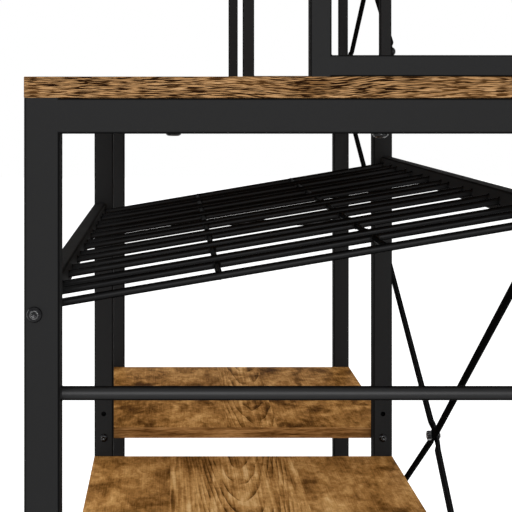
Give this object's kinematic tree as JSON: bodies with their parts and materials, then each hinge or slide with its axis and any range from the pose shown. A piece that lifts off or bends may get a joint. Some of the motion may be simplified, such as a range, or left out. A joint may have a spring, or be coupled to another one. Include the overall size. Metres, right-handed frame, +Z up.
{
  "type": "bakers rack",
  "caption": "Free-standing kitchen rack: steel tube frames with a board worktop, a sloping bottle rack under it, bolted shelf boards, a shallow hutch along the back and levelling feet.",
  "frame": {"origin": "on the floor, under the middle of the rack's box", "axes": "+Z up; +X along the length towards the bottle rack's end; -Y towards the user"},
  "size_m": [1.2066, 0.4242, 1.6],
  "materials": {
    "powder_coat": "black satin powder coat with a fine grain",
    "board": "rustic brown wood-look facing with dark knots and streaks, matt",
    "black_fastener": "black-coated steel, worn bright at the rims",
    "zinc": "zinc-plated steel",
    "black_plastic": "moulded black plastic"
  },
  "bodies": {
    "rack": {"base_brace_front_rod": "powder_coat", "base_brace_rear_rod": "powder_coat", "brace_bolts": "black_fastener", "brace_centre_bolts": "black_fastener", "hutch_bolts": "black_fastener", "hutch_brace_front_rod": "powder_coat", "hutch_brace_rear_rod": "powder_coat", "hutch_top": "board", "hutch_top_screws": "black_fastener", "left_back_post": "powder_coat", "left_bottom_rail": "powder_coat", "left_bottom_shelf": "board", "left_front_post": "powder_coat", "left_guard_rods": "powder_coat", "left_hutch_back_post": "powder_coat", "left_hutch_bottom_rail": "powder_coat", "left_hutch_front_post": "powder_coat", "left_hutch_shelf": "board", "left_hutch_top_rail": "powder_coat", "left_middle_shelf": "board", "left_top_rail": "powder_coat", "middle_back_post": "powder_coat", "middle_bottom_rail": "powder_coat", "middle_front_post": "powder_coat", "middle_hutch_back_post": "powder_coat", "middle_hutch_bottom_rail": "powder_coat", "middle_hutch_front_post": "powder_coat", "middle_hutch_top_rail": "powder_coat", "middle_top_rail": "powder_coat", "post_inserts": "black_plastic", "rack_back_tube": "powder_coat", "rack_bolts": "black_fastener", "rack_cross_rods": "powder_coat", "rack_front_tube": "powder_coat", "rack_rods": "powder_coat", "rack_tube_nuts": "zinc", "right_back_post": "powder_coat", "right_bottom_rail": "powder_coat", "right_bottom_shelf": "board", "right_front_post": "powder_coat", "right_guard_rods": "powder_coat", "right_hutch_back_post": "powder_coat", "right_hutch_bottom_rail": "powder_coat", "right_hutch_front_post": "powder_coat", "right_hutch_shelf": "board", "right_hutch_top_rail": "powder_coat", "right_middle_shelf": "board", "right_top_rail": "powder_coat", "shelf_bolts": "black_fastener", "shelf_inserts": "zinc", "weld_nuts": "zinc", "worktop": "board", "worktop_screws": "black_fastener"},
    "left_back_foot": {"left_back_foot": "black_plastic"},
    "left_front_foot": {"left_front_foot": "black_plastic"},
    "middle_back_foot": {"middle_back_foot": "black_plastic"},
    "middle_front_foot": {"middle_front_foot": "black_plastic"},
    "right_back_foot": {"right_back_foot": "black_plastic"},
    "right_front_foot": {"right_front_foot": "black_plastic"}
  },
  "joints": [
    {"name": "left_back_foot_travel", "type": "slide", "parent": "rack", "child": "left_back_foot", "axis": [0, 0, -1], "range_m": [0, 0.012]},
    {"name": "left_front_foot_travel", "type": "slide", "parent": "rack", "child": "left_front_foot", "axis": [0, 0, -1], "range_m": [0, 0.012]},
    {"name": "middle_back_foot_travel", "type": "slide", "parent": "rack", "child": "middle_back_foot", "axis": [0, 0, -1], "range_m": [0, 0.012]},
    {"name": "middle_front_foot_travel", "type": "slide", "parent": "rack", "child": "middle_front_foot", "axis": [0, 0, -1], "range_m": [0, 0.012]},
    {"name": "right_back_foot_travel", "type": "slide", "parent": "rack", "child": "right_back_foot", "axis": [0, 0, -1], "range_m": [0, 0.012]},
    {"name": "right_front_foot_travel", "type": "slide", "parent": "rack", "child": "right_front_foot", "axis": [0, 0, -1], "range_m": [0, 0.012]}
  ]
}
